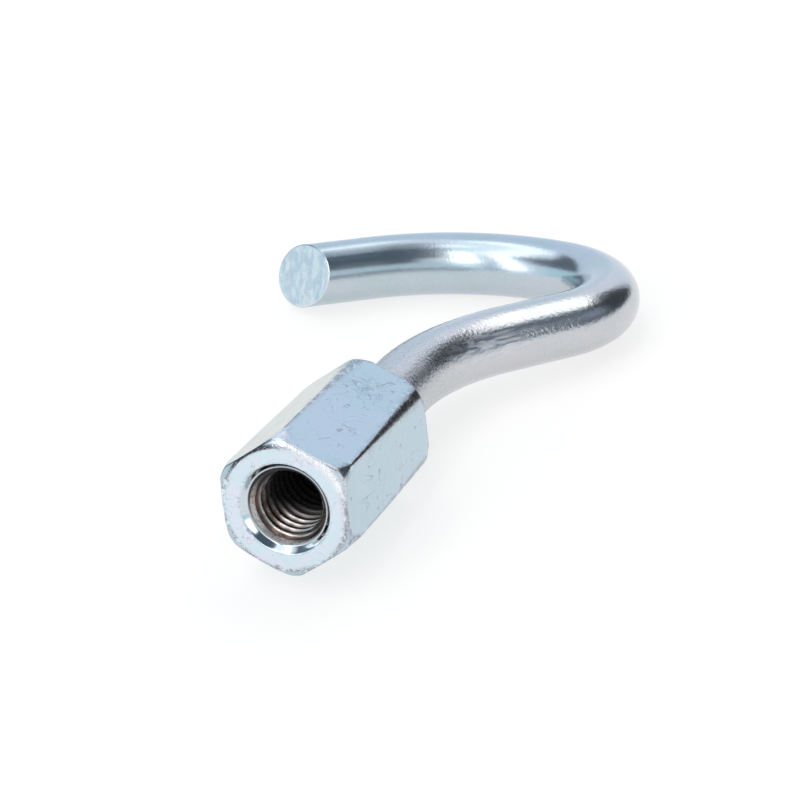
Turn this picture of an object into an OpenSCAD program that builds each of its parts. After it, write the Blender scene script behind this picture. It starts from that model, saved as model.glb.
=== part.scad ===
// Screw hook: a question-mark hook of round rod with a threaded hex socket head,
// one solid forging.  Modelled lying down as it rests, +Z up, millimetres.
// Origin: centre of the socket mouth, on the thread axis.
// The thread axis runs along +Y from the mouth into the head; lying on a flat
// surface the rear of the head and the crown of the bend touch it, so the axis
// dips a few degrees toward the bend.

/* [Hex head] */
// Width across flats of the hex head
head_af = 17; // [15:0.5:19]
// Length of the hex head along the thread axis
head_len = 30; // [26:0.5:40]
// Turn of the hexagon about the thread axis, measured from the plane of the hook
head_roll = 35; // [0:1:59]
// Diameter of the flat mouth face, cut a little under the flats
face_d = 16.9; // [15:0.1:16.9]
// Depth of the short outer bevel of the mouth face
face_bevel = 0.45; // [0.2:0.05:1]
// Diameter over the corners where the bevel ends
corner_front_d = 18.7; // [17.5:0.1:19]
// Depth at which the corners have grown to their full sharpness
corner_lead = 3.6; // [2:0.1:6]
// Diameter over the blunted corners at the rear of the head
corner_rear_d = 19; // [18:0.1:19.4]
// Depth of the bevel round the rear face
rear_bevel = 1; // [0.4:0.1:2]

/* [Threaded socket] */
// Bore diameter between the thread crests
bore_d = 8.5; // [7:0.1:9]
// Depth of the full-width bore from the mouth face
bore_depth = 22; // [14:0.5:23]
// Angle of the drill point at the bottom of the bore
point_angle = 118; // [100:2:140]
// Diameter of the polished countersink at the mouth face
sink_d = 12.3; // [11:0.1:13]
// Diameter of the step at the bottom of the countersink
step_d = 10.9; // [10.4:0.1:10.9]
// Diameter of the lead-in where it leaves the step
lead_d = 10.2; // [9.2:0.1:10.4]
// Depth of the countersink
sink_depth = 0.85; // [0.5:0.05:1.5]
// Depth from the step to the full thread
lead_depth = 1.5; // [0.5:0.1:2]

/* [Rod] */
// Rod diameter
rod_d = 9.6; // [8:0.1:10.5]
// Straight neck behind the head
neck_len = 13.5; // [8:0.5:25]
// Centre-line radius of the sideways bend of the neck
neck_r = 34; // [20:1:45]
// Angle of the sideways bend of the neck
neck_angle = 40; // [34:1:44]
// Straight run from the neck bend to the bowl
shank_len = 10.5; // [6:0.5:20]
// Centre-line radius of the tight part of the bowl
bowl_r = 13.5; // [11:0.5:18]
// Angle of the tight part of the bowl
bowl_angle = 116; // [100:1:125]
// Centre-line radius of the wide part of the bend
crown_r = 36; // [28:1:45]
// Angle of the wide part of the bend
crown_angle = 49.5; // [35:0.5:60]
// Straight tail, measured on the centre line up to the cut
tail_len = 10.3; // [9:0.1:25]
// Slant of the sheared end within the plane of the hook
cut_slant = 29; // [0:1:35]
// Slant of the sheared end out of the plane of the hook
cut_tip = 14; // [-15:1:20]
// Radius of the fillet between the rear face and the rod
root_fillet = 0.8; // [0.6:0.1:2]

/* [Hidden] */
$fn = 72;

rod_r = rod_d / 2;
// Straight runs reach this far into the bends, whose section is a hair thinner.
lap = 0.5;
bend_r = rod_r - 0.02;
corner_r = head_af / 2 / cos(30);
tip_len = bore_d / 2 / tan(point_angle / 2);

// Plan geometry of the centre line: headings in degrees, 90 is along the axis.
function ahead(p, h, s) = [p[0] + s * cos(h), p[1] + s * sin(h)];
function left_of(p, h, s) = [p[0] - s * sin(h), p[1] + s * cos(h)];

h0 = 90;
h1 = h0 - neck_angle;
h2 = h1 + bowl_angle;
h3 = h2 + crown_angle;
neck_a = [0, head_len];
neck_b = ahead(neck_a, h0, neck_len);
neck_c = left_of(neck_b, h0, -neck_r);
shank_a = left_of(neck_c, h1, neck_r);
shank_b = ahead(shank_a, h1, shank_len);
bowl_c = left_of(shank_b, h1, bowl_r);
crown_a = left_of(bowl_c, h2, -bowl_r);
crown_c = left_of(crown_a, h2, crown_r);
tail_a = left_of(crown_c, h3, -crown_r);
tail_b = ahead(tail_a, h3, tail_len);

// Lying angle: the floor line touches the lowest rear corner of the head and
// the underside of the rod where the bend turns back.
low_corner = corner_rear_d / 2 * max([for (k = [0 : 5]) -sin(head_roll + 60 * k)]);
touch_y = head_len - rear_bevel;
crown_y = h2 <= 180 ? crown_c[1] + crown_r : bowl_c[1] + bowl_r;
reach = norm([crown_y - touch_y, low_corner]);
lie_angle = atan2(low_corner, crown_y - touch_y) - asin(rod_r / reach);

// Points the local +Z of its children down the thread axis, +Y of the frame.
module along_axis() {
    rotate([-90, 0, 0]) children();
}

// Straight piece of rod from point p, heading h, length s, lapped at both ends.
module rod_straight(p, h, s) {
    translate([p[0], p[1], 0]) rotate([0, 0, h]) rotate([0, 90, 0])
        translate([0, 0, -lap]) cylinder(r = rod_r, h = s + 2 * lap);
}

// Bent piece of rod about centre c, from polar angle a0 over angle a.
module rod_bend(c, r, a0, a) {
    translate([c[0], c[1], 0]) rotate([0, 0, a0])
        rotate_extrude(angle = a) translate([r, 0]) circle(r = bend_r);
}

// Hexagonal head, its corners blunt at the mouth and at the rear.
module head_blank() {
    intersection() {
        along_axis() rotate([0, 0, -head_roll])
            cylinder(r = corner_r, h = head_len, $fn = 6);
        along_axis() rotate_extrude() polygon([
            [0, 0],
            [face_d / 2, 0],
            [corner_front_d / 2, face_bevel],
            [corner_r + 0.01, corner_lead],
            [corner_r + 0.01, head_len * 0.4],
            [corner_rear_d / 2, head_len - rear_bevel],
            [corner_rear_d / 2 - rear_bevel * 0.55, head_len],
            [0, head_len]
        ]);
    }
}

// Straight neck with the small concave fillet at the rear face, one turned shape.
module neck() {
    translate([0, head_len - 2, 0]) along_axis() rotate_extrude() union() {
        square([rod_r, neck_len + 2 + lap]);
        difference() {
            square([rod_r + root_fillet, root_fillet + 2]);
            translate([rod_r + root_fillet, root_fillet + 2]) circle(r = root_fillet);
        }
    }
}

// Everything removed for the threaded socket: countersink, lead-in, bore, point.
module socket_cut() {
    slope = (sink_d - step_d) / 2 / sink_depth;
    along_axis() rotate_extrude() polygon([
        [0, -1],
        [sink_d / 2 + slope, -1],
        [step_d / 2, sink_depth],
        [lead_d / 2, sink_depth + 0.02],
        [bore_d / 2, sink_depth + lead_depth],
        [bore_d / 2, bore_depth],
        [0, bore_depth + tip_len]
    ]);
}

// Rod: neck, sideways bend, shank, bowl, crown and sheared tail.
module hook_rod() {
    difference() {
        union() {
            neck();
            rod_bend(neck_c, neck_r, 180 - neck_angle, neck_angle);
            rod_straight(shank_a, h1, shank_len);
            rod_bend(bowl_c, bowl_r, h1 - 90, bowl_angle);
            rod_straight(crown_a, h2, 0);
            rod_bend(crown_c, crown_r, h2 - 90, crown_angle);
            rod_straight(tail_a, h3, tail_len + rod_d);
        }
        translate([tail_b[0], tail_b[1], 0]) rotate([0, 0, h3])
            tail_cut();
    }
}

// Block beyond the slanted cut plane, local +X along the tail.
module tail_cut() {
    rotate([0, 0, cut_slant]) rotate([0, -cut_tip, 0])
        translate([0, -3 * rod_d / 2, -3 * rod_d / 2])
            cube([3 * rod_d, 3 * rod_d, 3 * rod_d]);
}

module screw_hook() {
    color("#b7c3cc")
    rotate([-lie_angle, 0, 0])
    difference() {
        union() {
            head_blank();
            hook_rod();
        }
        socket_cut();
    }
}

screw_hook();
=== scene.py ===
"""Screw hook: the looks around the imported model.  Lengths below are millimetres in the hook's own frame
(thread axis +Y from the mouth, hook plane z = 0) until hook_to_row() tips them to the lying pose, in metres."""
import math

import bpy
import numpy as np
from mathutils import Matrix, Vector


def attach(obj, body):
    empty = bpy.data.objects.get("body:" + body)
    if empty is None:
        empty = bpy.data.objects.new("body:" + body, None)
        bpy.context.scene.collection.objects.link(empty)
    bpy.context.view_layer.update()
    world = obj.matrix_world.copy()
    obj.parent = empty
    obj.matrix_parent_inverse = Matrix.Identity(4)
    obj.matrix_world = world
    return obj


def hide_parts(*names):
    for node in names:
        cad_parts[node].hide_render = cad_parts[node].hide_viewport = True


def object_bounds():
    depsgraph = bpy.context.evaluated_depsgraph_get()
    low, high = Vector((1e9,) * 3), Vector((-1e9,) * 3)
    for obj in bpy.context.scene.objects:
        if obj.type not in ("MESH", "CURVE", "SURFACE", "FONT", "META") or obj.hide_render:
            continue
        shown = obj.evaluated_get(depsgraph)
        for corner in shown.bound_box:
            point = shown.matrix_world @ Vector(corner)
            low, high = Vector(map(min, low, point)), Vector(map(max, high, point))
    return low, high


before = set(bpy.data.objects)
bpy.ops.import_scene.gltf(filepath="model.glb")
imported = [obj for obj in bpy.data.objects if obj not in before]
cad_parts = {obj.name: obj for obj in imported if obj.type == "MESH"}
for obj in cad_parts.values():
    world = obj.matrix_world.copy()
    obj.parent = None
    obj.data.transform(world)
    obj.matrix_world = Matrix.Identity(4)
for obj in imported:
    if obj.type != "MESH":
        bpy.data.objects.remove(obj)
cad_lo, cad_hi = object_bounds()

# ---------------------------------------------------------------- dimensions, as in the part's source
HEAD_AF, HEAD_LEN, HEAD_ROLL = 17.0, 30.0, 35.0
FACE_D, FACE_BEVEL, CORNER_FRONT_D, CORNER_LEAD, CORNER_REAR_D, REAR_BEVEL = 16.9, 0.45, 18.7, 3.6, 19.0, 1.0
BORE_D, BORE_DEPTH, POINT_ANGLE = 8.5, 22.0, 118.0
SINK_D, STEP_D, LEAD_D, SINK_DEPTH, LEAD_DEPTH = 12.3, 10.9, 10.2, 0.85, 1.5
ROD_D, NECK_LEN, NECK_R, NECK_ANGLE, SHANK_LEN = 9.6, 13.5, 34.0, 40.0, 10.5
BOWL_R, BOWL_ANGLE, CROWN_R, CROWN_ANGLE, TAIL_LEN = 13.5, 116.0, 36.0, 49.5, 10.3
CUT_SLANT, CUT_TIP, ROOT_FILLET = 29.0, 14.0, 0.8
PITCH, ROOT_RAD = 1.5, 5.0          # the internal thread: 10 mm x 1.5, right hand
LIE = math.radians(3.9577727752805805)
ROD_R, BORE_R, CORNER_RAD = ROD_D / 2, BORE_D / 2, HEAD_AF / 2 / math.cos(math.radians(30))
TAU = 2 * math.pi


# ---------------------------------------------------------------- seeded noise
def lattice(ix, iy, iz, seed):
    h = (ix.astype(np.int64) * 73856093) ^ (iy.astype(np.int64) * 19349663) ^ (iz.astype(np.int64) * 83492791) ^ (seed * 2654435761)
    h = (h ^ (h >> 13)) * 1274126177
    h = h & 0xFFFFFFFF
    h = h ^ (h >> 16)
    return (h & 0xFFFFFF) / float(0xFFFFFF) * 2 - 1


def noise(p, scale, seed=1):
    """Smooth value noise, -1..1; scale is the feature size, one number or three."""
    q = np.asarray(p, float) / np.asarray(scale, float)
    i = np.floor(q); f = q - i; f = f * f * f * (f * (f * 6 - 15) + 10)
    i = i.astype(np.int64); out = 0
    for dx in (0, 1):
        for dy in (0, 1):
            for dz in (0, 1):
                w = (f[..., 0] if dx else 1 - f[..., 0]) * (f[..., 1] if dy else 1 - f[..., 1]) * (f[..., 2] if dz else 1 - f[..., 2])
                out = out + w * lattice(i[..., 0] + dx, i[..., 1] + dy, i[..., 2] + dz, seed)
    return out


def smooth(a, b, x):
    t = np.clip((np.asarray(x, float) - a) / (b - a), 0, 1)
    return t * t * (3 - 2 * t)


# ---------------------------------------------------------------- mesh assembly: rings and strips
class Skin:
    def __init__(self):
        self.co, self.att, self.tris, self.n = [], [], [], 0

    def add(self, pts, **att):
        pts = np.asarray(pts, float).reshape(-1, 3)
        ids = np.arange(self.n, self.n + len(pts))
        row = np.zeros((len(pts), len(ATTS)))
        for k, v in att.items():
            row[:, ATTS.index(k)] = v
        self.co.append(pts); self.att.append(row); self.n += len(pts)
        return ids

    def grid(self, a, b):
        """Two closed rings with the same number of points, b further along than a."""
        a2, b2 = np.roll(a, -1), np.roll(b, -1)
        self.tris.append(np.c_[a, a2, b2]); self.tris.append(np.c_[a, b2, b])

    def stitch(self, a, pa, b, pb):
        """Two closed rings with their own angles pa, pb (ascending, 0..tau)."""
        na, nb = len(a), len(b); i = k = 0; out = []
        A = list(pa) + [pa[0] + TAU]; B = list(pb) + [pb[0] + TAU]
        while i < na or k < nb:
            if k >= nb or (i < na and A[i + 1] - B[k] <= B[k + 1] - A[i]):
                out.append((a[i % na], a[(i + 1) % na], b[k % nb])); i += 1
            else:
                out.append((a[i % na], b[(k + 1) % nb], b[k % nb])); k += 1
        self.tris.append(np.array(out))

    def fan(self, ring, pole, flip=False):
        r2 = np.roll(ring, -1); p = np.full(len(ring), pole)
        self.tris.append(np.c_[ring, p, r2] if flip else np.c_[ring, r2, p])


# several of these attributes carry painted light: the highlight and the dark line of shade on the rim of the mouth
# face, a reflection tint on the top-left flat, and the bright crests and dark depths of the socket
ATTS = ["edge", "head", "face", "bore", "cut", "grain", "sink", "crest", "deep", "rub", "worn", "glint", "warm", "near"]
skin = Skin()

# ---------------------------------------------------------------- columns (angles about the thread axis)
half = [0, 0.28, 0.56, 0.85, 1.2, 1.6, 2.0, 2.4, 2.8, 3.2, 3.6, 4.2, 5.2, 6.8, 9, 12, 15.5, 19, 22.5, 26, 30]
sector = half + [60 - x for x in half[-2:0:-1]]
PH_HEAD = np.sort(np.radians(np.array([(HEAD_ROLL + 60 * k + x) % 360 for k in range(6) for x in sector])))
N_BORE, N_ROD = 144, 128
PH_BORE = np.arange(N_BORE) * TAU / N_BORE
PH_ROD = np.arange(N_ROD) * TAU / N_ROD


def at(rho, y, ph):
    return np.stack([rho * np.cos(ph), np.broadcast_to(y, np.shape(rho * np.cos(ph))), rho * np.sin(ph)], -1)


# ---------------------------------------------------------------- head, as blended planes and cones
def hex_rad(ph, re=0.22):
    """Polar radius of the hexagon with rounded long edges, and the slope factor to its flats."""
    k = (np.degrees(ph) - HEAD_ROLL + 30) % 60 - 30           # from the nearest corner, degrees
    g = np.radians(np.abs(k)); c = (HEAD_AF / 2 - re) / math.cos(math.radians(30))
    flat = HEAD_AF / 2 / np.cos(np.radians(30) - g)
    disc = re * re - (c * np.sin(g)) ** 2
    arc = c * np.cos(g) + np.sqrt(np.maximum(disc, 0))
    tang = c * np.sin(g) <= re * np.sin(np.radians(30) - g) + 1e-9
    return np.where(tang & (disc > 0), arc, flat), np.cos(np.radians(30) - g)


def head_planes(rho, y, ph):
    def cone(p, q, sy):
        d = np.array(q) - np.array(p); n = np.array([d[1], -d[0]]); n = n / np.linalg.norm(n) * sy
        return (rho - p[0]) * n[0] + (y - p[1]) * n[1]
    hr, cosd = hex_rad(ph)
    cf, cr = CORNER_FRONT_D / 2, CORNER_REAR_D / 2
    return np.stack([
        -y + 0 * rho,
        cone((FACE_D / 2, 0), (cf, FACE_BEVEL), 1),
        cone((cf, FACE_BEVEL), (CORNER_RAD + 0.01, CORNER_LEAD), 1),
        (rho - hr) * cosd,
        cone((CORNER_RAD + 0.01, HEAD_LEN * 0.4), (cr, HEAD_LEN - REAR_BEVEL), 1),
        cone((cr, HEAD_LEN - REAR_BEVEL), (cr - REAR_BEVEL * 0.55, HEAD_LEN), 1),
        y - HEAD_LEN + 0 * rho], 0)


def head_field(rho, y, ph):
    g = head_planes(rho, y, ph)
    k = 0.035 + 0.02 * (1 - smooth(0.3, 2.0, y))
    m = g.max(0)
    return m + k * np.log(np.exp((g - m) / k).sum(0))


def turn(ph, deg):
    """Degrees from ph to an angle, -180..180."""
    return (np.degrees(ph) - deg + 180) % 360 - 180


def head_edge(rho, y, ph):
    """How near a worn edge a point is, 0..1; the band is wider on the upper right, where the rim of the mouth face
    carries a painted highlight.
    """
    g = np.sort(head_planes(rho, y, ph), 0)
    k = (np.degrees(ph) - HEAD_ROLL + 30) % 60 - 30
    along = np.abs(np.sin(np.radians(k))) * 9.8                # distance from the nearest long edge
    near = np.exp(-((g[-1] - g[-2]) / (0.13 + 0.16 * np.exp(-(turn(ph, 42) / 50) ** 2))) ** 2)
    return np.maximum(near, np.exp(-(along / 0.24) ** 2) * (y > 0.5))


def head_wear_and_light(y, ph):
    """The long edge right of the top flat, worn dark and wider to the rear; a painted highlight on the rim of the mouth
    face on the upper right, with the scuffed lead-in of the corner left of the top flat; painted shade as a dark line
    along the upper left edge of the mouth face; and a painted reflection tint on the top-left flat."""
    off = np.abs(np.sin(np.radians(turn(ph, HEAD_ROLL)))) * 9.8
    worn = np.exp(-(off / (0.18 + 0.50 * smooth(3, 30, y))) ** 4) * smooth(2.5, 5, y) * (np.abs(turn(ph, HEAD_ROLL)) < 30)
    rim = (1 - smooth(0.5, 1.1, y)) * np.exp(-(turn(ph, 52) / 36) ** 4)
    fan = np.exp(-(turn(ph, HEAD_ROLL + 60) / 8) ** 2) * smooth(0.1, 0.5, y) * (1 - smooth(1.8, 3.4, y))
    shade = (1 - smooth(0.6, 1.3, y)) * np.exp(-(turn(ph, 122) / 28) ** 6)
    return worn, rim - shade, fan, np.exp(-(turn(ph, HEAD_ROLL + 90) / 29) ** 8) * smooth(0.5, 1.5, y)


def solve(fr, lo, hi):
    lo = np.full_like(PH_HEAD, lo); hi = np.full_like(PH_HEAD, hi)
    for _ in range(46):
        mid = (lo + hi) / 2; out = fr(mid) > 0
        hi = np.where(out, mid, hi); lo = np.where(out, lo, mid)
    return (lo + hi) / 2


rows = []       # (rho, y) arrays per ring over PH_HEAD, from the mouth to the rear face
for r in (6.45, 6.9, 7.3):
    rows.append((np.full_like(PH_HEAD, r), solve(lambda t: head_field(np.full_like(PH_HEAD, r), 3 - t, PH_HEAD), 0, 4) * -1 + 3))
fc = (7.55, 1.0)
for a in np.radians([-90, -80, -70, -62, -55, -49, -44, -39, -34, -29, -24, -19, -14, -9, -4]):
    t = solve(lambda t: head_field(fc[0] + t * math.cos(a), fc[1] + t * math.sin(a), PH_HEAD), 0, 4)
    rows.append((fc[0] + t * math.cos(a), fc[1] + t * math.sin(a)))
ys = np.concatenate([np.arange(1.05, 4.4, 0.17), np.arange(4.5, 27.6, 0.55), np.arange(27.8, 28.95, 0.2)])
for yy in ys:
    rows.append((solve(lambda t: head_field(t, np.full_like(PH_HEAD, yy), PH_HEAD), 6, 11), np.full_like(PH_HEAD, yy)))
rc = (7.6, 29.0)
for a in np.radians([2, 8, 14, 20, 26, 31, 36, 41, 46, 52, 59, 67, 77, 90]):
    t = solve(lambda t: head_field(rc[0] + t * math.cos(a), rc[1] + t * math.sin(a), PH_HEAD), 0, 4)
    rows.append((rc[0] + t * math.cos(a), rc[1] + t * math.sin(a)))
rows.append((np.full_like(PH_HEAD, 6.9), np.full_like(PH_HEAD, HEAD_LEN)))

head_rings = []
for rho, y in rows:
    p = at(rho, y, PH_HEAD)
    e = head_edge(rho, y, PH_HEAD)
    # shallow waviness of the flats, and small bites out of the edges
    w = 0.010 * noise(p, (5, 9, 5), 3) + 0.005 * noise(p, 1.6, 4)
    bite = e * (0.030 * np.maximum(noise(p, (0.9, 1.4, 0.9), 5), 0) + 0.016 * np.maximum(noise(p, 0.35, 6), 0))
    side = smooth(0.25, 1.2, y)
    rho2 = rho + (np.minimum(w, 0.0) * 1.0 + 0.0) * side - bite * 0.7
    y2 = y + (bite * 0.7) * (1 - side)
    face = 1 - smooth(0.03, 0.16, y)
    worn, rim, fan, warm = head_wear_and_light(y, PH_HEAD)
    # the rim of the mouth face carries a painted highlight on the upper right and painted shade on the upper left,
    # beside the scuffed lead-in of the top corner
    head_rings.append(skin.add(at(rho2, y2, PH_HEAD), edge=np.maximum(e, 0.8 * fan), head=1.0, face=face, worn=worn, glint=np.where(fan > 0.1, fan, rim), warm=warm))
for a, b in zip(head_rings[:-1], head_rings[1:]):
    skin.grid(a, b)


# ---------------------------------------------------------------- socket: countersink, lead-in and thread
def thread_rad(y, ph):
    """Radius of the threaded bore at depth y: flats at crest and root, 60 degree flanks, right hand."""
    u = (y / PITCH + ph / TAU - 0.333) % 1.0
    u = np.minimum(u, 1 - u)                                  # 0 at the crest, 0.5 at the root
    flank = ROOT_RAD - (0.4375 - u) * PITCH * math.sqrt(3)
    soft = 0.018
    r = BORE_R + soft * np.log1p(np.exp((flank - BORE_R) / soft))
    r = ROOT_RAD - soft * np.log1p(np.exp((ROOT_RAD - r) / soft))
    fade = 1 - smooth(17.5, 20.5, y)
    return BORE_R + (r - BORE_R) * fade


def socket_rad(y, ph):
    """A steep fall from the step to the lead-in cone, which cuts the first turns of the thread short."""
    k = 0.02
    slope = (LEAD_D - BORE_D) / 2 / (LEAD_DEPTH - 0.02)
    fall = np.maximum(STEP_D / 2 - (y - SINK_DEPTH) * 9.0, BORE_D / 2 - 0.3)
    cone = np.maximum(LEAD_D / 2 - (y - SINK_DEPTH - 0.02) * slope, BORE_D / 2 - 0.3)
    r = np.stack([thread_rad(y, ph), fall, cone], 0)
    m = r.max(0)
    return m + k * np.log(np.exp((r - m) / k).sum(0))


def bore_light_and_shade(y, ph):
    """Painted light and shade in the socket, partly also plating that thins with depth: a painted highlight on the
    thread crests, widest on the flank that faces the mouth, and on the first turn at the lower left; painted shade in
    the thread roots, in a thin band under the step, and darkening with depth, sooner on the upper wall near the mouth
    and latest on the lower wall.
    """
    u = (y / PITCH + ph / TAU + 0.167) % 1.0 - 0.5             # negative on the flank that faces the mouth
    low = smooth(0.0, 1.0, np.cos(ph + math.radians(78)))
    high = smooth(-0.2, 0.7, np.cos(ph - math.radians(85))) * (1 - smooth(2, 4, y))
    cone = LEAD_D / 2 - (y - SINK_DEPTH - 0.02) * (LEAD_D - BORE_D) / 2 / (LEAD_DEPTH - 0.02)
    first = (1 - smooth(0.02, 0.14, thread_rad(y, ph) - cone)) * smooth(0.9, 0.98, y) * smooth(-0.1, 0.6, np.cos(ph - math.radians(232)))
    crest = np.maximum(np.where(u < 0, 1 - smooth(0.11, 0.30, -u), 1 - smooth(0.07, 0.16, u)), first)
    return crest, np.maximum(smooth(1.4, 6.8, y - 5.0 * low + 4.5 * high), 0.6 * (1 - smooth(0.9, 0.98, y)))


def bore_point(y, ph, r):
    p = at(r, y, ph)
    w = 0.006 * noise(p, (0.5, 0.25, 0.5), 11)
    return at(r + w, y, ph)


# mouth edge (rounded), countersink, step, lead-in: from the face inwards
mouth = []
s_out = (SINK_D - STEP_D) / 2 / SINK_DEPTH
for rho, y in [(6.33, 0.0), (6.24, 0.006), (6.17, 0.03), (6.11, 0.075)]:
    mouth.append((rho, y, 0.0))
for y in (0.18, 0.32, 0.46, 0.60, 0.72, 0.80):
    mouth.append((SINK_D / 2 - s_out * y, y, 1.0))
mouth.append((STEP_D / 2 - 0.035, SINK_DEPTH + 0.005, 0.7))
rings = []
for rho, y, sk in mouth:
    q = at(np.full(N_BORE, rho), y, PH_BORE)
    rings.append(skin.add(q, sink=sk, face=1 - sk, head=1 - sk, edge=0.3 * (y < 0.1)))
for y in np.concatenate([np.arange(SINK_DEPTH + 0.02, 1.02, 0.03), np.arange(1.05, 2.58, 0.055)]):
    yy = np.full(N_BORE, y)
    crest, deep = bore_light_and_shade(yy, PH_BORE)
    rings.append(skin.add(bore_point(yy, PH_BORE, socket_rad(yy, PH_BORE)), bore=1.0, sink=0.0, crest=crest, deep=deep))
skin.stitch(rings[0], PH_BORE, head_rings[0], PH_HEAD)
for a, b in zip(rings[:-1], rings[1:]):
    skin.grid(b, a)

# deep part: each column has its own depths, on the crest, flank and root lines of the helix
Y_A, Y_B = 2.6, 21.4
feats = [0.0, 0.11, 0.15, 0.19, 0.30, 0.41, 0.46, 0.54, 0.59, 0.70, 0.81, 0.85, 0.89]
sparse = [0.0, 0.15, 0.30, 0.44, 0.56, 0.70, 0.85]
cols = []
for ph in PH_BORE:
    lst = [Y_A]
    for m in range(0, 16):
        for u in (feats if m < 10 else sparse):
            y = PITCH * (m + u - ph / TAU + 0.333) + PITCH
            if Y_A + 0.04 < y < Y_B - 0.04:
                lst.append(y)
    lst = sorted(lst) + [Y_B]
    y = np.array(lst); pp = np.full(len(y), ph)
    crest, deep = bore_light_and_shade(y, pp)
    cols.append((skin.add(bore_point(y, pp, socket_rad(y, pp)), bore=1.0, crest=crest, deep=deep), y))
for j in range(N_BORE):
    (a, ya), (b, yb) = cols[j], cols[(j + 1) % N_BORE]
    i = k = 0; out = []
    while i < len(a) - 1 or k < len(b) - 1:
        if k >= len(b) - 1 or (i < len(a) - 1 and ya[i + 1] <= yb[k + 1]):
            out.append((a[i], a[i + 1], b[k])); i += 1
        else:
            out.append((a[i], b[k + 1], b[k])); k += 1
    skin.tris.append(np.array(out))
top = np.array([c[0][0] for c in cols]); bot = np.array([c[0][-1] for c in cols])
skin.grid(top, rings[-1])
# the end of the bore and the drill point lie wholly in the painted shade of the depths
prev = bot
for rho, y in [(BORE_R, 21.8), (BORE_R - 0.1, BORE_DEPTH + 0.05), (3.0, BORE_DEPTH + (BORE_R - 3.0) / math.tan(math.radians(POINT_ANGLE / 2))),
               (1.5, BORE_DEPTH + (BORE_R - 1.5) / math.tan(math.radians(POINT_ANGLE / 2)))]:
    cur = skin.add(at(np.full(N_BORE, rho), y, PH_BORE), bore=1.0, deep=1.0)
    skin.grid(cur, prev); prev = cur
tip = skin.add([[0, BORE_DEPTH + BORE_R / math.tan(math.radians(POINT_ANGLE / 2)), 0]], bore=1.0, deep=1.0)[0]
skin.fan(prev, tip, flip=True)

# ---------------------------------------------------------------- rod
d2 = lambda h: np.array([math.cos(math.radians(h)), math.sin(math.radians(h))])
l2 = lambda h: np.array([-math.sin(math.radians(h)), math.cos(math.radians(h))])
h0 = 90.0; h1 = h0 - NECK_ANGLE; h2 = h1 + BOWL_ANGLE; h3 = h2 + CROWN_ANGLE
neck_a = np.array([0.0, HEAD_LEN]); neck_b = neck_a + NECK_LEN * d2(h0)
neck_c = neck_b - NECK_R * l2(h0); shank_a = neck_c + NECK_R * l2(h1); shank_b = shank_a + SHANK_LEN * d2(h1)
bowl_c = shank_b + BOWL_R * l2(h1); crown_a = bowl_c - BOWL_R * l2(h2)
crown_c = crown_a + CROWN_R * l2(h2); tail_a = crown_c - CROWN_R * l2(h3); tail_b = tail_a + TAIL_LEN * d2(h3)
PARTS = [(NECK_LEN, 0.0, h0, neck_a), (math.radians(NECK_ANGLE) * NECK_R, -NECK_R, h0, neck_b), (SHANK_LEN, 0.0, h1, shank_a),
         (math.radians(BOWL_ANGLE) * BOWL_R, BOWL_R, h1, shank_b), (math.radians(CROWN_ANGLE) * CROWN_R, CROWN_R, h2, crown_a), (TAIL_LEN, 0.0, h3, tail_a)]
LENGTH = sum(p[0] for p in PARTS)


def centre(s):
    """Centre-line point and heading (radians) at length s from the head's rear face."""
    for n, (ln, rad, h, p) in enumerate(PARTS):
        if s <= ln or n == len(PARTS) - 1:
            if rad == 0:
                return p + s * d2(h), math.radians(h)
            sg = 1 if rad > 0 else -1
            c = p + rad * l2(h); hh = h + math.degrees(s / rad)
            return c - rad * l2(hh), math.radians(hh)
        s -= ln


def rod_point(s, ph, rho):
    """Points at length s (array), angle ph about the rod and radius rho."""
    s, ph, rho = np.broadcast_arrays(s, ph, rho)
    out = np.zeros(s.shape + (3,))
    uniq = {}
    for idx in np.ndindex(s.shape):
        v = float(s[idx])
        if v not in uniq:
            uniq[v] = centre(v)
        c, h = uniq[v]
        n = (math.sin(h), -math.cos(h))
        cp, sp = math.cos(ph[idx]), math.sin(ph[idx])
        out[idx] = (c[0] + rho[idx] * cp * n[0], c[1] + rho[idx] * cp * n[1], rho[idx] * sp)
    return out


def rubbed(s, ph):
    """Where the shank is rubbed bright, 0..1."""
    return np.exp(-((s - 30.0) / 8.0) ** 2) * np.exp(-((((ph - 0.46 + math.pi) % TAU) - math.pi) / 0.34) ** 2)


def rod_relief(p, s, ph):
    """Radius change of the drawn and bent rod: faint lengthways draw lines, waviness, rubbed patch on the shank."""
    q = np.stack([np.cos(ph) * 4.8, np.sin(ph) * 4.8, np.broadcast_to(s, ph.shape)], -1)
    r = 0.012 * noise(q, (5, 5, 8), 21) + 0.006 * noise(q, (2.2, 2.2, 3.5), 22) * (1 - 0.6 * smooth(55, 80, s))
    lines = 0.004 * noise(q, (0.5, 0.5, 14), 23) * (1 - 0.5 * smooth(55, 80, s))
    rub = rubbed(s, ph)
    return r + lines - rub * (0.022 + 0.030 * noise(q, (0.42, 0.42, 9), 24))


# rear face and root fillet
rear_in = skin.add(at(np.full(N_ROD, ROD_R + ROOT_FILLET + 0.12), HEAD_LEN, PH_ROD), head=1.0, edge=0.0)
skin.stitch(head_rings[-1], PH_HEAD, rear_in, PH_ROD)
prev = rear_in
for a in np.radians([-90, -100, -112, -124, -136, -148, -160, -172]):
    rho = ROD_R + ROOT_FILLET + ROOT_FILLET * math.cos(a); y = HEAD_LEN + ROOT_FILLET + ROOT_FILLET * math.sin(a)
    cur = skin.add(at(np.full(N_ROD, rho), y, PH_ROD), head=0.5, grain=1.0); skin.grid(prev, cur); prev = cur
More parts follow.
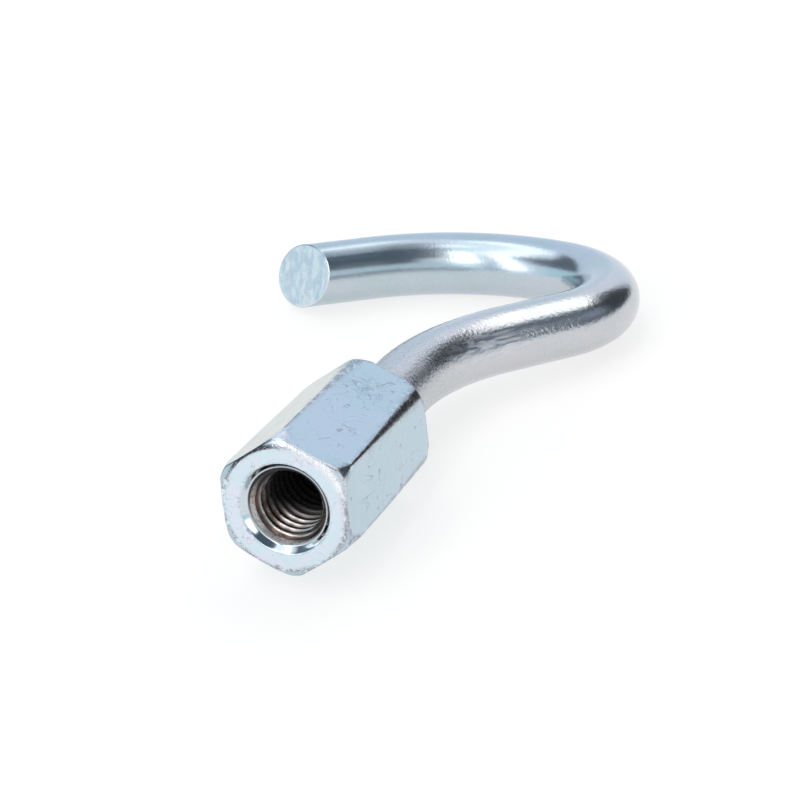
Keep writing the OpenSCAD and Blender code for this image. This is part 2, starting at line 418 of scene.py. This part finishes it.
# lengthways stations
S_CUT = LENGTH
stations = list(np.arange(ROOT_FILLET + 0.1, LENGTH - 7.0, 0.58))
nrm_t = math.cos(math.radians(CUT_TIP)) * math.cos(math.radians(CUT_SLANT))
nrm_l = math.cos(math.radians(CUT_TIP)) * math.sin(math.radians(CUT_SLANT))
nrm_z = math.sin(math.radians(CUT_TIP))


def plane_off(ph, rho):
    """Lengthways offset of the cut plane from its middle."""
    return -rho * (-np.cos(ph) * nrm_l + np.sin(ph) * nrm_z) / nrm_t


for s in stations:
    q = rod_point(np.full(N_ROD, s), PH_ROD, np.full(N_ROD, 1.0))
    rho = ROD_R + rod_relief(q, s, PH_ROD) * smooth(1.5, 5, s) - 0.012
    gr = float(1 - smooth(10, 30, s))
    cur = skin.add(rod_point(np.full(N_ROD, s), PH_ROD, rho), grain=gr, rub=rubbed(s, PH_ROD), near=float(1 - smooth(50, 80, s))); skin.grid(prev, cur); prev = cur
s_last = stations[-1]
end_off = plane_off(PH_ROD, ROD_R)
RND = 0.13
for t in np.linspace(0, 1, 15)[1:]:
    s = s_last + (LENGTH + end_off - RND * 1.15 - s_last) * t
    rho = ROD_R + rod_relief(None, s, PH_ROD) - 0.012
    q = np.array([rod_point(s[j], PH_ROD[j], rho[j]) for j in range(N_ROD)])
    cur = skin.add(q, grain=0.0, cut=0.0); skin.grid(prev, cur); prev = cur


def cut_point(ph, rho, back):
    """Point of the sheared end: radius rho, back millimetres behind the cut plane."""
    off = plane_off(ph, rho) - back / nrm_t
    return np.array([rod_point(LENGTH + off[j], ph[j], rho[j]) for j in range(len(ph))])


def streaks(ph, rho, s_seed=31):
    """Relief of the sheared face: ridges run up the face, torn a little toward the bottom."""
    x = -np.cos(ph) * rho; z = np.sin(ph) * rho
    lean = x + 0.22 * z + 0.25 * noise(np.stack([x, z, 0 * x], -1), (3, 3, 1), 30)
    q = np.stack([lean, z, 0 * x], -1)
    tear = 0.5 + 0.5 * smooth(1.5, -3.5, z)
    return 0.020 * noise(q, (1.2, 5.0, 1), s_seed) + 0.007 * noise(q, (0.55, 2.8, 1), s_seed + 1) + 0.007 * tear * noise(q, (0.45, 0.7, 1), s_seed + 2)


for a in np.radians([12, 26, 40, 54, 68, 82]):
    rr = RND * (1 + 0.25 * noise(np.stack([np.cos(PH_ROD) * 4.8, np.sin(PH_ROD) * 4.8, 0 * PH_ROD], -1), 1.7, 35))
    rho = ROD_R - 0.012 - rr * (1 - math.cos(a)); back = rr * (1 - math.sin(a)) + 0.05
    cur = skin.add(cut_point(PH_ROD, rho, back - streaks(PH_ROD, rho) * (math.degrees(a) / 90) ** 2), edge=1.0, cut=math.degrees(a) / 90)
    skin.grid(prev, cur); prev = cur
for f in (0.95, 0.915, 0.88, 0.84, 0.80, 0.76, 0.72, 0.68, 0.64, 0.60, 0.56, 0.52, 0.48, 0.44, 0.40, 0.36, 0.32, 0.28, 0.24, 0.20, 0.16, 0.12, 0.08, 0.04):
    rho = np.full(N_ROD, ROD_R * f)
    cur = skin.add(cut_point(PH_ROD, rho, 0.05 - streaks(PH_ROD, rho)), edge=0.5 * float(smooth(0.90, 0.98, f)), cut=1.0)
    skin.grid(prev, cur); prev = cur
pole = skin.add(cut_point(np.zeros(1), np.zeros(1), np.full(1, 0.03)), cut=1.0)[0]
skin.fan(prev, pole)


# ---------------------------------------------------------------- to the row frame, in metres
def hook_to_row(p):
    c, s = math.cos(LIE), math.sin(LIE)
    return np.stack([p[:, 0], p[:, 1] * c + p[:, 2] * s, -p[:, 1] * s + p[:, 2] * c], -1) / 1000.0


co = hook_to_row(np.vstack(skin.co)); att = np.vstack(skin.att); tris = np.vstack(skin.tris)[:, ::-1].astype(np.int32)
mesh = bpy.data.meshes.new("plated_hook")
mesh.vertices.add(len(co)); mesh.vertices.foreach_set("co", co.astype(np.float32).ravel())
mesh.loops.add(len(tris) * 3); mesh.loops.foreach_set("vertex_index", tris.ravel())
mesh.polygons.add(len(tris)); mesh.polygons.foreach_set("loop_start", np.arange(0, len(tris) * 3, 3, dtype=np.int32))
mesh.polygons.foreach_set("loop_total", np.full(len(tris), 3, np.int32))
mesh.update(calc_edges=True); mesh.validate()
mesh.shade_smooth(); mesh.set_sharp_from_angle(angle=math.radians(48))
for k, name in enumerate(ATTS):
    a = mesh.attributes.new(name, "FLOAT", "POINT"); a.data.foreach_set("value", att[:, k].astype(np.float32))
hook = bpy.data.objects.new("plated_hook", mesh)
bpy.context.scene.collection.objects.link(hook)
print("plated_hook", len(co), "points", len(tris), "triangles")


# ---------------------------------------------------------------- node helpers
class Tree:
    def __init__(self, tree):
        self.t = tree; tree.nodes.clear()

    def node(self, kind, **kw):
        n = self.t.nodes.new(kind)
        for k, v in kw.items():
            setattr(n, k, v)
        return n

    def put(self, sock, val):
        if isinstance(val, bpy.types.NodeSocket):
            self.t.links.new(val, sock)
        else:
            sock.default_value = val

    def math(self, op, a, b=0.0, c=0.0, clamp=False):
        n = self.node("ShaderNodeMath", operation=op, use_clamp=clamp)
        self.put(n.inputs[0], a); self.put(n.inputs[1], b); self.put(n.inputs[2], c)
        return n.outputs[0]

    def ramp(self, x, a, b, lo=0.0, hi=1.0):
        n = self.node("ShaderNodeMapRange", interpolation_type="SMOOTHSTEP")
        self.put(n.inputs["Value"], x)
        n.inputs["From Min"].default_value = a; n.inputs["From Max"].default_value = b
        n.inputs["To Min"].default_value = lo; n.inputs["To Max"].default_value = hi
        return n.outputs["Result"]

    def mix(self, fac, a, b, blend="MIX"):
        n = self.node("ShaderNodeMix", data_type="RGBA", blend_type=blend)
        self.put(n.inputs[0], fac); self.put(n.inputs[6], a); self.put(n.inputs[7], b)
        return n.outputs[2]

    def noise(self, vec, scale, detail=2.0, rough=0.5, distort=0.0):
        n = self.node("ShaderNodeTexNoise")
        self.put(n.inputs["Vector"], vec)
        n.inputs["Scale"].default_value = scale; n.inputs["Detail"].default_value = detail
        n.inputs["Roughness"].default_value = rough; n.inputs["Distortion"].default_value = distort
        return n.outputs["Fac"]

    def map(self, vec, scale=(1, 1, 1), rot=(0, 0, 0), loc=(0, 0, 0)):
        n = self.node("ShaderNodeMapping")
        self.put(n.inputs["Vector"], vec)
        n.inputs["Scale"].default_value = scale; n.inputs["Rotation"].default_value = rot; n.inputs["Location"].default_value = loc
        return n.outputs["Vector"]

    def attr(self, name):
        n = self.node("ShaderNodeAttribute", attribute_name=name)
        return n.outputs["Fac"]


def rgb(r, g, b):
    return (r, g, b, 1.0)


# ---------------------------------------------------------------- plated steel
mat = bpy.data.materials.new("zinc_plate"); mat.use_nodes = True
t = Tree(mat.node_tree)
out = t.node("ShaderNodeOutputMaterial"); bsdf = t.node("ShaderNodeBsdfPrincipled")
t.t.links.new(bsdf.outputs[0], out.inputs[0])
bsdf.inputs["Metallic"].default_value = 1.0
mm = t.map(t.node("ShaderNodeTexCoord").outputs["Object"], scale=(1000, 1000, 1000))
edge, head, face, bore, cut, grain, sink, crest, deep, rub, worn, glint, warm, near = [t.attr(a) for a in ATTS]


def near_spot(pos, r0, r1):
    """1 within r0 of a point in the hook's frame, 0 beyond r1 (mm)."""
    q = hook_to_row(np.array([pos], float))[0] * 1000
    n = t.node("ShaderNodeVectorMath", operation="DISTANCE")
    t.put(n.inputs[0], mm); n.inputs[1].default_value = q
    return t.ramp(n.outputs["Value"], r0, r1, 1.0, 0.0)


def mul(a, b):
    return t.math("MULTIPLY", a, b)


def most(a, b):
    return t.math("MAXIMUM", a, b)


def hairlines(rot, scale, width, gate):
    """Thin broken lines along the direction in which the scale is small, after the turn."""
    n = t.noise(t.map(t.map(mm, rot=rot), scale=scale), 1.0, 0.0)
    return mul(t.ramp(t.math("ABSOLUTE", t.math("SUBTRACT", n, 0.5)), 0.0, width, 1.0, 0.0), gate)


def pits(scale, radius, share):
    """Small round marks, one in some of the cells."""
    v = t.node("ShaderNodeTexVoronoi")
    t.put(v.inputs["Vector"], mm); v.inputs["Scale"].default_value = scale
    sp = t.node("ShaderNodeSeparateColor"); t.put(sp.inputs[0], v.outputs["Color"])
    size = mul(mul(t.math("GREATER_THAN", sp.outputs[0], 1 - share), sp.outputs[1]), radius * scale)
    return t.ramp(t.math("SUBTRACT", v.outputs["Distance"], size), -0.3 * radius * scale, 0.25 * radius * scale, 1.0, 0.0)


film = t.noise(mm, 0.11, 1, 0.5, 0.6)
film2 = t.noise(mm, 0.4, 2, 0.6, 0.4)
speck = t.noise(mm, 2.8, 1, 0.6)
fleck = t.noise(mm, 6.0, 1, 0.6)
base = t.mix(t.ramp(film, 0.35, 0.65), rgb(0.50, 0.59, 0.63), rgb(0.54, 0.60, 0.66))
base = t.mix(near, base, t.mix(t.ramp(film, 0.35, 0.65), rgb(0.57, 0.60, 0.62), rgb(0.61, 0.61, 0.64)))
head_col = t.mix(t.ramp(film, 0.35, 0.65), rgb(0.47, 0.60, 0.67), rgb(0.50, 0.60, 0.69))
# painted reflection: the top-left flat is tinted greyer and less blue than the other flats
head_col = t.mix(warm, head_col, rgb(0.53, 0.57, 0.55))
base = t.mix(head, base, head_col)
# the mouth face is paler than the flats: partly its machined finish, partly painted light that brightens it
base = t.mix(face, base, t.mix(t.ramp(film2, 0.42, 0.6), rgb(0.66, 0.78, 0.85), rgb(0.73, 0.77, 0.87)))
# cut end: sheared streaks, pale and blue
cutn = t.noise(t.map(t.map(mm, rot=(0, math.radians(10), 0)), scale=(1.0, 1.0, 0.30)), 1.0, 2, 0.55, 0.3)
base = t.mix(cut, base, t.mix(t.ramp(cutn, 0.34, 0.64), rgb(0.62, 0.66, 0.74), rgb(0.80, 0.80, 0.83)))
base = t.mix(sink, base, rgb(0.62, 0.69, 0.74))
# socket: painted highlights on the crests near the mouth, painted shade in the brown-black roots and depths
brown = t.ramp(film2, 0.4, 0.6)
bore_col = t.mix(crest, t.mix(brown, rgb(0.050, 0.038, 0.033), rgb(0.072, 0.042, 0.035)), t.mix(brown, rgb(0.97, 0.95, 0.93), rgb(0.90, 0.84, 0.79)))
bore_col = t.mix(mul(t.ramp(speck, 0.50, 0.62), 0.32), bore_col, rgb(0.16, 0.11, 0.10))
bore_col = t.mix(mul(near_spot((-4.1, 5.0, -1.1), 2.0, 4.0), t.ramp(t.noise(mm, 1.6, 1, 0.6), 0.62, 0.44, 0.45, 0.95)), bore_col, rgb(0.10, 0.048, 0.036))
# painted shade: with depth the socket turns near black, and further down it also loses its metal and gloss
dark = mul(deep, bore)
bore_col = t.mix(deep, bore_col, rgb(0.006, 0.004, 0.004))
not_sink = t.math("SUBTRACT", 1.0, sink)
base = t.mix(mul(bore, not_sink), base, bore_col)
# worn edges: pale pinkish scuffs broken by dark specks; on the upper right rim of the mouth face the pale colour is a
# painted highlight, and a painted dark line of shade runs along its upper left edge
on_head = mul(head, t.math("SUBTRACT", 1.0, bore))
patchy = t.noise(mm, 0.9, 1, 0.6)
# the painted highlight on the upper right rim (with the scuffed lead-in of the top corner), then the painted shade
# along the upper left edge
bright = t.math("MAXIMUM", glint, 0.0)
shade = t.math("MAXIMUM", t.math("MULTIPLY", glint, -1.0), 0.0)
rims = mul(edge, on_head)
scuff_and_highlight = mul(rims, most(mul(mul(t.ramp(fleck, 0.48, 0.58), t.ramp(patchy, 0.46, 0.58)), 0.35), mul(bright, t.ramp(fleck, 0.30, 0.45))))
dark_edge = mul(mul(rims, mul(t.ramp(fleck, 0.58, 0.50), t.ramp(patchy, 0.66, 0.52))), t.math("SUBTRACT", 1.0, mul(bright, 0.8)))
# pale scuffs, and the painted highlight on the upper right rim of the mouth face
base = t.mix(mul(scuff_and_highlight, 0.92), base, rgb(1.0, 0.95, 0.96))
base = t.mix(mul(dark_edge, 0.75), base, rgb(0.16, 0.135, 0.155))
# painted shade: a near-black line along the upper left edge of the mouth face
base = t.mix(mul(t.ramp(edge, 0.35, 0.75), mul(mul(shade, on_head), t.ramp(fleck, 0.66, 0.58, 0.6, 1.0))), base, rgb(0.05, 0.045, 0.055))
base = t.mix(mul(t.ramp(worn, 0.03, 0.14), t.ramp(t.math("ADD", worn, t.math("ADD", mul(t.math("SUBTRACT", fleck, 0.5), 3.0), mul(t.math("SUBTRACT", patchy, 0.5), 1.6))), 0.34, 0.60)), base, rgb(0.025, 0.026, 0.032))
# marks on the flats: pits, hairline scratches, a rubbed cluster near the rear of the top flat
plain = mul(on_head, not_sink)
gate = t.ramp(t.noise(mm, 0.36, 1, 0.6), 0.52, 0.57)
scr = most(hairlines((0, 0, 0.5), (0.9, 0.07, 0.9), 0.014, gate), hairlines((0.9, 0.3, 0), (0.8, 0.8, 0.10), 0.013, t.ramp(film2, 0.55, 0.61)))
spots = most(mul(mul(near_spot((3.0, 23.4, 8.0), 0.6, 4.5), t.ramp(patchy, 0.46, 0.56)), t.ramp(fleck, 0.52, 0.57)), most(hairlines((0.2, 0, 1.1), (1.0, 0.22, 1.0), 0.016, near_spot((4.67, 10.1, 7.2), 1.2, 2.8)), hairlines((0, 0.6, -0.9), (0.9, 0.2, 0.9), 0.016, near_spot((2.8, 20.6, 8.1), 1.6, 4.2))))
spots = most(spots, most(hairlines((0.25, 0, 0), (1.1, 0.14, 0.8), 0.015, near_spot((8.45, 7.5, 0.9), 1.4, 3.2)), hairlines((0, 0, 0.9), (0.9, 0.2, 0.9), 0.016, most(near_spot((3.4, 6.3, 7.8), 0.6, 1.6), near_spot((5.0, 26.2, 7.0), 0.8, 2.2)))))
mark = mul(most(most(pits(0.7, 0.10, 0.4), scr), spots), plain)
base = t.mix(mul(mark, 0.70), base, rgb(0.20, 0.21, 0.25))
# rod: grey grain, and the rubbed stretch of the shank
bare = t.math("SUBTRACT", 1.0, head)
base = t.mix(mul(mul(t.ramp(fleck, 0.48, 0.66), bare), t.math("ADD", 0.16, mul(grain, 0.34))), base, rgb(0.26, 0.26, 0.29))
streak = t.noise(t.map(t.map(mm, rot=(0, 0, math.radians(-50))), scale=(0.13, 2.0, 2.0)), 1.0, 1, 0.5)
base = t.mix(mul(rub, 0.6), base, t.mix(t.ramp(streak, 0.42, 0.58), rgb(0.38, 0.43, 0.50), rgb(0.80, 0.83, 0.88)))
t.put(bsdf.inputs["Base Color"], base)
# painted shade: the dark depths of the socket are made non-metallic
t.put(bsdf.inputs["Metallic"], t.math("SUBTRACT", 1.0, mul(dark, 0.95)))
bsdf.inputs["Specular IOR Level"].default_value = 0.2

rough = t.math("ADD", 0.165, mul(t.math("SUBTRACT", film2, 0.5), 0.08))
far = mul(bare, t.math("SUBTRACT", 1.0, near))
for part, more in ((grain, 0.12), (far, 0.03), (mul(crest, bore), 0.13), (head, 0.05), (scuff_and_highlight, 0.20), (dark_edge, 0.14), (worn, 0.10), (mark, 0.15), (rub, 0.16), (dark, 0.4)):
    rough = t.math("ADD", rough, mul(part, more))
rough = t.math("ADD", rough, mul(rub, mul(t.ramp(streak, 0.40, 0.60), 0.24)))
rough = t.math("SUBTRACT", rough, mul(sink, 0.10))
t.put(bsdf.inputs["Roughness"], rough)
# relief too fine for the mesh: grain of the forging, lengthways rub lines
height = mul(t.noise(mm, 1.9, 2, 0.65), t.math("ADD", t.math("ADD", t.math("ADD", mul(head, 0.02), t.math("ADD", 0.14, mul(mul(bare, near), 0.38))), mul(grain, 0.75)), mul(worn, 0.9)))
height = t.math("ADD", height, mul(mul(streak, rub), 1.1))
bump = t.node("ShaderNodeBump")
bump.inputs["Strength"].default_value = 1.0; bump.inputs["Distance"].default_value = 0.00008
t.put(bump.inputs["Height"], mul(height, t.math("SUBTRACT", 1.0, mul(sink, 0.8))))
t.put(bsdf.inputs["Normal"], bump.outputs["Normal"])
mesh.materials.append(mat)

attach(hook, "root")
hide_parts("screw_hook")

# ---------------------------------------------------------------- floor
fm = bpy.data.meshes.new("floor")
Z0 = cad_lo.z - 0.00005
fm.from_pydata([(-6, -6, Z0), (6, -6, Z0), (6, 6, Z0), (-6, 6, Z0)], [], [(0, 1, 2, 3)])
floor = bpy.data.objects.new("floor", fm); bpy.context.scene.collection.objects.link(floor)
fmat = bpy.data.materials.new("pale_floor"); fmat.use_nodes = True
ft = Tree(fmat.node_tree); fo = ft.node("ShaderNodeOutputMaterial")
fb = ft.node("ShaderNodeBsdfPrincipled")
fb.inputs["Base Color"].default_value = rgb(0.37, 0.355, 0.34); fb.inputs["Roughness"].default_value = 0.9
fb.inputs["Specular IOR Level"].default_value = 0.0
fb.inputs["Emission Color"].default_value = rgb(1, 1, 1); fb.inputs["Emission Strength"].default_value = 0.70
ft.t.links.new(fb.outputs[0], fo.inputs[0]); fm.materials.append(fmat)

# ---------------------------------------------------------------- soft studio: a pale dome with soft panels and soft dark gaps
# Directions in degrees: azimuth from +Y toward +X, elevation from the floor.
AZ, EL = np.meshgrid(np.arange(0, 360, 1.25), np.arange(-3, 90.1, 1.24))


def patch(c, val, az0, az1, soft_az, el0, el1, soft_el, tilt0=0.0, tilt1=0.0):
    """Blends val over the directions from az0 to az1 and el0 to el1 with soft borders; the tilts let the lower and
    upper border climb by that many degrees for each degree of azimuth from the middle."""
    rel = (AZ - (az0 + az1) / 2 + 180) % 360 - 180; half_az = (az1 - az0) / 2
    f = 1 - smooth(half_az - soft_az, half_az + soft_az, np.abs(rel))
    f = f * smooth(el0 - soft_el, el0 + soft_el, EL - rel * tilt0)
    if el1 < 90:
        f = f * (1 - smooth(el1 - soft_el, el1 + soft_el, EL - rel * tilt1))
    return c + (np.array(val) - c) * f[..., None]


WHITE = (2.1, 2.12, 2.15)
col = np.zeros(AZ.shape + (3,)) + (0.90, 0.97, 1.05)
col = patch(col, (0.76, 0.89, 1.03), -62, -8, 6, -10, 62, 6)              # pale blue, back left
col = patch(col, (0.90, 0.97, 1.08), -10, 18, 4, -10, 47, 5)              # lavender, behind the head
col = patch(col, (0.68, 0.92, 1.00), -140, -60, 6, -10, 30, 5)            # cyan, left
col = patch(col, (0.70, 0.83, 0.88), 108, 172, 5, -20, 30, 5)             # grey, near right
col = patch(col, (0.33, 0.36, 0.42), -12, 160, 9, 72, 91, 7)              # right half of the ceiling
col = patch(col, (1.27, 1.37, 1.47), -182, -22, 7, 60, 91, 5)             # overhead panel, left
col = patch(col, WHITE, -172, -24, 8, 82, 91, 4)
col = patch(col, WHITE, -120, -28, 6, 61, 69, 2.5)                        # its bright border
col = patch(col, WHITE, -158, -116, 4, 54, 68, 2.5, 0.27, 0.1)
col = patch(col, (0.36, 0.43, 0.50), 62, 104, 6, 44, 60, 5)
col = patch(col, (1.95, 1.95, 1.93), -10, 66, 6, 45, 61, 3)                 # top strip at the back
col = patch(col, (0.125, 0.15, 0.17), 18, 103, 4, 3, 46, 4, 0.05, 0.08)   # dark gap, back right
col = patch(col, (0.06, 0.07, 0.08), 23, 61, 5, 4, 35, 5, 0.1, 0.3)
col = patch(col, (0.30, 0.35, 0.45), 64, 92, 9, 17, 36, 9)                 # paler spot in it
col = patch(col, (0.17, 0.20, 0.24), 148, 168, 5, 42, 79, 5)
col = patch(col, (0.10, 0.13, 0.165), 74, 130, 7, 60, 80, 5)
col = patch(col, (0.10, 0.13, 0.165), 104, 152, 5, 27, 80, 5)             # dark gap over the near side
col = patch(col, (2.3, 2.3, 2.3), 104, 118, 2, 10, 38, 4)                 # small panel, right
col = patch(col, (0.16, 0.19, 0.23), -140, -60, 6, 22, 52, 4, -0.3, 0.0)  # dark gap, left
col = patch(col, (0.46, 0.56, 0.68), -175, -160, 2, -20, 52, 5)           # gap between the two panels
col = patch(col, (1.25, 1.36, 1.45), 171, 188, 3, -20, 42, 5)             # twin upright panels, near left
col = patch(col, (3.3, 3.15, 3.05), 172, 187, 3, 26, 68, 6)
col = patch(col, (1.35, 1.45, 1.55), -160, -149, 3, -20, 17, 6)
col = patch(col, (3.3, 3.2, 3.15), -160, -149, 3, 10, 54, 6)
R_DOME = 4.0
a, e = np.radians(AZ), np.radians(EL)
dome_co = np.stack([np.sin(a) * np.cos(e), np.cos(a) * np.cos(e), np.sin(e)], -1) * R_DOME + (0.0, 0.05, 0.0)
nr, nc = AZ.shape
ii = np.arange(nr * nc).reshape(nr, nc); right_i = np.roll(ii, -1, 1)
quads = np.stack([ii[:-1], ii[1:], right_i[1:], right_i[:-1]], -1).reshape(-1, 4)
dm = bpy.data.meshes.new("dome")
dm.from_pydata(dome_co.reshape(-1, 3).tolist(), [], quads.tolist())
dm.shade_smooth()
glow = dm.attributes.new("glow", "FLOAT_COLOR", "POINT")
glow.data.foreach_set("color", np.concatenate([col, np.ones(col.shape[:2] + (1,))], -1).astype(np.float32).ravel())
dome = bpy.data.objects.new("dome", dm); bpy.context.scene.collection.objects.link(dome)
dmat = bpy.data.materials.new("studio_light"); dmat.use_nodes = True
d = Tree(dmat.node_tree)
d_out = d.node("ShaderNodeOutputMaterial"); d_em = d.node("ShaderNodeEmission")
d.put(d_em.inputs["Color"], d.mix(d.node("ShaderNodeLightPath").outputs["Is Camera Ray"], d.node("ShaderNodeAttribute", attribute_name="glow").outputs["Color"], rgb(0.97, 0.97, 0.97)))
d.t.links.new(d_em.outputs[0], d_out.inputs[0])
if hasattr(dmat, "cycles"):
    dmat.cycles.emission_sampling = "NONE"
dm.materials.append(dmat)
world = bpy.data.worlds.new("studio"); world.use_nodes = True; bpy.context.scene.world = world
w = Tree(world.node_tree)
wout = w.node("ShaderNodeOutputWorld"); bg = w.node("ShaderNodeBackground")
bg.inputs["Color"].default_value = rgb(0.97, 0.97, 0.97)
w.t.links.new(bg.outputs[0], wout.inputs[0])

# ---------------------------------------------------------------- camera, at the photograph's angle
cam = bpy.data.cameras.new("camera"); cam.lens = 135.0; cam.sensor_width = 36.0
cam.clip_start = 0.01; cam.clip_end = 50
cam_ob = bpy.data.objects.new("camera", cam); bpy.context.scene.collection.objects.link(cam_ob)
right = Vector((0.9406540200011584, 0.3351090074708422, -0.05359074330112742))
down = Vector((0.09777201906160535, -0.41882137476186865, -0.9027897254240301))
ahead = Vector((-0.32497791762560946, 0.8439731092602926, -0.4267302940983183))
m = Matrix((right, -down, -ahead)).transposed().to_4x4()
m.translation = Vector((0.13463961, -0.30709721, 0.17223229))
cam_ob.matrix_world = m
bpy.context.scene.camera = cam_ob
bpy.context.scene.view_settings.view_transform = "Standard"
bpy.context.scene.view_settings.look = "None"
